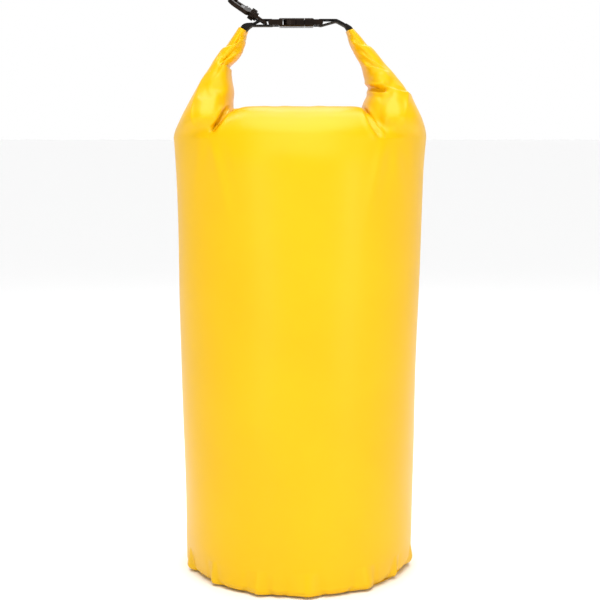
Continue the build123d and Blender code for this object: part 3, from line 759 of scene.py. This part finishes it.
def make_roll(material):
    """The flat roll of the mouth between the sleeves: turns of fabric that end in a lap along its front."""
    turns = np.linspace(0, 2 * math.pi, ROLL_COLUMNS, endpoint=False)
    c, s = superellipse(turns, 3.6)
    stations = np.linspace(ROLL_ENDS[0], ROLL_ENDS[1], 90)
    rows = []
    for x in stations:
        sag = 0.35 * math.sin(x / 23 + 0.8) + 0.2 * math.sin(x / 9.5)
        step = ROLL_LAP * smooth((turns - ROLL_LAP_AT) / 0.16) * smooth((2 * math.pi - turns) / 2.4)
        ripple = 0.16 * np.sin(x / 3.4 + 2 * turns) + 0.12 * np.sin(x / 1.9 - 3 * turns)
        half_width = ROLL_HALF_WIDTH + step + ripple
        half_height = ROLL_HALF_HEIGHT + step + ripple
        z = ROLL_Z + sag * 0.4 + s * half_height
        rows.append(np.stack([np.full_like(c, x), c * half_width, z], axis=1))
    rows = np.array(rows)
    index = np.arange(rows.shape[0] * rows.shape[1]).reshape(rows.shape[:2])
    points = rows.reshape(-1, 3)
    faces = facing_out(points, grid_faces(index, True), points.mean(axis=0))
    roll = make_piece("rolled_mouth", points, faces, material)
    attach(roll, "bag")
    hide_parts("rolled_mouth_middle", "stiffener_middle")


def rounded_section(half_width, half_thickness, count=28):
    """A strap's section as (across, through) offsets: flat faces and rounded edges."""
    angles = np.arange(count) * (2 * math.pi / count)
    c, s = superellipse(angles, 5.0)
    return np.stack([c * half_width, s * half_thickness], axis=1)


def make_webbing_root(side, material):
    """The stack of webbing over the stiffened end of the roll, from inside the sleeve up to the strap."""
    keys = WEBBING_ROOTS[side]
    middles = np.array([(key[0], key[1]) for key in keys], float)
    sizes = np.array([(key[2], key[3]) for key in keys], float)
    at = np.linspace(0, len(keys) - 1, 8 * (len(keys) - 1) + 1)
    line = through(np.arange(len(keys)), middles, at)
    size = through(np.arange(len(keys)), sizes, at)
    along = np.gradient(line, axis=0)
    along /= np.linalg.norm(along, axis=1, keepdims=True)
    rows = []
    for middle, (half_width, half_thickness), (dx, dz) in zip(line, size, along):
        section = rounded_section(half_width, half_thickness)
        rows.append(
            np.stack([middle[0] - dz * section[:, 1], section[:, 0], middle[1] + dx * section[:, 1]], axis=1)
        )
    rows = np.array(rows)
    index = np.arange(rows.shape[0] * rows.shape[1]).reshape(rows.shape[:2])
    points = rows.reshape(-1, 3)
    faces = facing_out(points, grid_faces(index, True), points.mean(axis=0)).tolist()
    faces += [index[0][::-1].tolist(), index[-1].tolist()]
    root = make_piece(f"webbing_root_{side}", points, faces, material)
    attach(root, f"arm_{side}")


# ---- Materials -------------------------------------------------------------------------------------
def new_material(name):
    material = bpy.data.materials.new(name)
    material.use_nodes = True
    nodes, links = material.node_tree.nodes, material.node_tree.links
    shader = next(n for n in nodes if n.type == "BSDF_PRINCIPLED")
    return material, nodes, links, shader


def noise(nodes, links, where, scale, detail=3.0, roughness=0.5):
    texture = nodes.new("ShaderNodeTexNoise")
    texture.inputs["Scale"].default_value = scale
    texture.inputs["Detail"].default_value = detail
    texture.inputs["Roughness"].default_value = roughness
    links.new(where.outputs["Object"], texture.inputs["Vector"])
    return texture


def colour_between(nodes, links, factor, low, high, start=0.35, end=0.65):
    ramp = nodes.new("ShaderNodeValToRGB")
    ramp.color_ramp.elements[0].position = start
    ramp.color_ramp.elements[1].position = end
    ramp.color_ramp.elements[0].color = (*low, 1)
    ramp.color_ramp.elements[1].color = (*high, 1)
    links.new(factor, ramp.inputs["Fac"])
    return ramp


def spread(nodes, links, factor, low, high):
    """Maps 0..1 to low..high."""
    mapped = nodes.new("ShaderNodeMapRange")
    mapped.clamp = False
    mapped.inputs["To Min"].default_value = low
    mapped.inputs["To Max"].default_value = high
    links.new(factor, mapped.inputs["Value"])
    return mapped.outputs["Result"]


def bump(nodes, links, height, distance, strength, below=None):
    node = nodes.new("ShaderNodeBump")
    node.inputs["Distance"].default_value = distance
    node.inputs["Strength"].default_value = strength
    links.new(height, node.inputs["Height"])
    if below is not None:
        links.new(below, node.inputs["Normal"])
    return node.outputs["Normal"]


def ribs(nodes, links, where, direction, per_metre):
    wave = nodes.new("ShaderNodeTexWave")
    wave.bands_direction = direction
    wave.wave_profile = "SIN"
    wave.inputs["Scale"].default_value = per_metre * math.pi / 10
    wave.inputs["Distortion"].default_value = 0.0
    links.new(where.outputs["Object"], wave.inputs["Vector"])
    return wave.outputs["Fac"]


def coated_fabric(name, low, high, roughness, weave):
    """Coated fabric: satin, with the weave just showing through the coating."""
    material, nodes, links, shader = new_material(name)
    where = nodes.new("ShaderNodeTexCoord")
    broad = noise(nodes, links, where, 9.0)
    fine = noise(nodes, links, where, 420.0, 4.0)
    colour = colour_between(nodes, links, broad.outputs["Fac"], low, high)
    # Painted shade: the base colour is multiplied darker and more orange where the cloth turns away, so the
    # sides look shaded; the coating is also made less shiny there.
    facing = nodes.new("ShaderNodeLayerWeight")
    facing.inputs["Blend"].default_value = 0.42
    painted_side_shade = nodes.new("ShaderNodeMix")
    painted_side_shade.data_type = "RGBA"
    painted_side_shade.blend_type = "MULTIPLY"
    links.new(facing.outputs["Facing"], painted_side_shade.inputs[0])
    links.new(colour.outputs["Color"], painted_side_shade.inputs[6])
    painted_side_shade.inputs[7].default_value = (0.93, 0.86, 0.3, 1)
    links.new(painted_side_shade.outputs[2], shader.inputs["Base Color"])
    patchy = spread(nodes, links, broad.outputs["Fac"], roughness - 0.03, roughness + 0.05)
    links.new(patchy, shader.inputs["Roughness"])
    shine = spread(nodes, links, facing.outputs["Facing"], 0.46, 0.14)
    links.new(shine, shader.inputs["Specular IOR Level"])
    add = nodes.new("ShaderNodeMath")
    add.operation = "ADD"
    links.new(ribs(nodes, links, where, "Z", 1400), add.inputs[0])
    links.new(ribs(nodes, links, where, "X", 1400), add.inputs[1])
    normal = bump(nodes, links, add.outputs["Value"], 0.00005, weave)
    normal = bump(nodes, links, fine.outputs["Fac"], 0.0001, 0.25, normal)
    links.new(normal, shader.inputs["Normal"])
    shader.inputs["Specular Tint"].default_value = (1.0, 0.93, 0.5, 1)
    return material


def webbing_material():
    """Black woven webbing: ribs across and a fine twill."""
    material, nodes, links, shader = new_material("black_webbing")
    where = nodes.new("ShaderNodeTexCoord")
    fine = noise(nodes, links, where, 900.0, 4.0)
    across = ribs(nodes, links, where, "Y", 620)
    slanted = ribs(nodes, links, where, "DIAGONAL", 900)
    colour = colour_between(nodes, links, slanted, (0.004, 0.0035, 0.003), (0.014, 0.012, 0.011), 0.2, 0.8)
    links.new(colour.outputs["Color"], shader.inputs["Base Color"])
    normal = bump(nodes, links, across, 0.0004, 0.8)
    normal = bump(nodes, links, slanted, 0.0003, 0.6, normal)
    normal = bump(nodes, links, fine.outputs["Fac"], 0.0002, 0.5, normal)
    links.new(normal, shader.inputs["Normal"])
    links.new(spread(nodes, links, fine.outputs["Fac"], 0.55, 0.8), shader.inputs["Roughness"])
    shader.inputs["Sheen Weight"].default_value = 0.05
    shader.inputs["Specular IOR Level"].default_value = 0.13
    return material


def moulded_plastic(name, colour, lighter_flow_mark, roughness):
    """Moulded plastic: smooth and glossy, with faint flow marks and a fine grain."""
    material, nodes, links, shader = new_material(name)
    where = nodes.new("ShaderNodeTexCoord")
    flow = noise(nodes, links, where, 60.0, 2.0)
    grain = noise(nodes, links, where, 2600.0, 2.0)
    # Painted reflection: the warm brown in both colours stands in for the yellow fabric reflected in the
    # black plastic, and the warm specular tint below adds to it. The lighter colour marks faint flow marks.
    tint = colour_between(nodes, links, flow.outputs["Fac"], colour, lighter_flow_mark)
    links.new(tint.outputs["Color"], shader.inputs["Base Color"])
    patchy = spread(nodes, links, flow.outputs["Fac"], roughness - 0.06, roughness + 0.12)
    links.new(patchy, shader.inputs["Roughness"])
    links.new(bump(nodes, links, grain.outputs["Fac"], 0.00005, 0.2), shader.inputs["Normal"])
    shader.inputs["Specular IOR Level"].default_value = 0.14
    shader.inputs["Specular Tint"].default_value = (1.0, 0.8, 0.68, 1)
    return material


def steel_material():
    material, nodes, links, shader = new_material("stainless_steel")
    where = nodes.new("ShaderNodeTexCoord")
    brushed = noise(nodes, links, where, 1500.0, 3.0)
    colour = colour_between(nodes, links, brushed.outputs["Fac"], (0.5, 0.5, 0.51), (0.66, 0.66, 0.67))
    links.new(colour.outputs["Color"], shader.inputs["Base Color"])
    links.new(spread(nodes, links, brushed.outputs["Fac"], 0.22, 0.38), shader.inputs["Roughness"])
    shader.inputs["Metallic"].default_value = 1.0
    return material


def thread_material():
    material, nodes, links, shader = new_material("black_thread")
    where = nodes.new("ShaderNodeTexCoord")
    twist = ribs(nodes, links, where, "DIAGONAL", 2500)
    colour = colour_between(nodes, links, twist, (0.01, 0.01, 0.01), (0.05, 0.05, 0.048), 0.3, 0.7)
    links.new(colour.outputs["Color"], shader.inputs["Base Color"])
    links.new(bump(nodes, links, twist, 0.0001, 0.6), shader.inputs["Normal"])
    shader.inputs["Roughness"].default_value = 0.6
    return material


def dress(material, *nodes):
    """Gives CAD nodes a material."""
    for name in nodes:
        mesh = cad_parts[name].data
        mesh.materials.clear()
        mesh.materials.append(material)


# ---- Stage -----------------------------------------------------------------------------------------
def make_camera():
    data = bpy.data.cameras.new("camera")
    data.lens = CAMERA_LENS
    camera = bpy.data.objects.new("camera", data)
    camera.location = (0, -CAMERA_DISTANCE * MM, CAMERA_HEIGHT * MM)
    camera.rotation_euler = (math.radians(90 - CAMERA_TILT), 0, 0)
    bpy.context.scene.collection.objects.link(camera)
    bpy.context.scene.camera = camera


def lamp(name, kind, place, target):
    data = bpy.data.lights.new(name, kind)
    light = bpy.data.objects.new(name, data)
    light.location = place
    light.rotation_mode = "QUATERNION"
    light.rotation_quaternion = (Vector(target) - Vector(place)).to_track_quat("-Z", "Y")
    bpy.context.scene.collection.objects.link(light)
    return data


def softbox(name, place, target, size, power):
    data = lamp(name, "AREA", place, target)
    data.shape = "RECTANGLE"
    data.size, data.size_y = size
    data.energy = power


def make_stage():
    bpy.ops.mesh.primitive_plane_add(size=FLOOR_SIZE, location=(0, 0, 0))
    floor = bpy.context.object
    floor.name = "floor"
    material, _, _, shader = new_material("pale_floor")
    shader.inputs["Base Color"].default_value = (FLOOR_GREY, FLOOR_GREY, FLOOR_GREY, 1)
    shader.inputs["Roughness"].default_value = 0.9
    floor.data.materials.append(material)
    for name, (azimuth, width, power) in SOFTBOXES.items():
        turn = math.radians(azimuth)
        place = (SOFTBOX_DISTANCE * math.sin(turn), -SOFTBOX_DISTANCE * math.cos(turn), SOFTBOX_HEIGHT)
        softbox(name, place, SOFTBOX_AIM, (width, SOFTBOX_LENGTH), power)
    for name, (place, target, size, power) in HUNG_SOFTBOXES.items():
        softbox(name, place, target, size, power)
    overhead = lamp("overhead", "SUN", OVERHEAD_PLACE, (0, 0, 0))
    overhead.energy = OVERHEAD_STRENGTH
    overhead.angle = math.radians(OVERHEAD_SPREAD)
    make_sky()


def make_sky():
    """Soft light from above and plain white all round near the level of the floor."""
    world = bpy.data.worlds.new("studio")
    bpy.context.scene.world = world
    world.use_nodes = True
    nodes, links = world.node_tree.nodes, world.node_tree.links
    where = nodes.new("ShaderNodeTexCoord")
    split = nodes.new("ShaderNodeSeparateXYZ")
    links.new(where.outputs["Generated"], split.inputs["Vector"])
    ramp = colour_between(nodes, links, split.outputs["Z"], (1.0, 1.0, 1.0), (0.22, 0.22, 0.22), 0.2, 0.34)
    links.new(ramp.outputs["Color"], nodes["Background"].inputs["Color"])
    bpy.context.scene.view_settings.view_transform = "Standard"


make_camera()
make_stage()

yellow = coated_fabric(
    "yellow_coated_fabric", low=(0.83, 0.49, 0.0005), high=(0.86, 0.512, 0.001), roughness=0.33, weave=0.16
)
make_fabric(yellow)
make_roll(yellow)

# The brown in these blacks is a painted reflection of the yellow fabric.
hardware = moulded_plastic(
    "black_acetal", colour=(0.006, 0.0035, 0.0025), lighter_flow_mark=(0.012, 0.007, 0.0045), roughness=0.24
)
dress(hardware, "buckle_socket", "buckle_plug", "plug_prong_front", "plug_prong_back")
dress(hardware, "hook_eye", "hook_body", "hook_gate")
dress(steel_material(), "hook_swivel_rivet", "hook_gate_pin", "hook_gate_spring")
webbing = webbing_material()
dress(webbing, "webbing_left", "webbing_right")
for side in ("left", "right"):
    make_webbing_root(side, webbing)
dress(thread_material(), "webbing_stitching_left", "webbing_stitching_right")
dress(yellow, "base_panel")
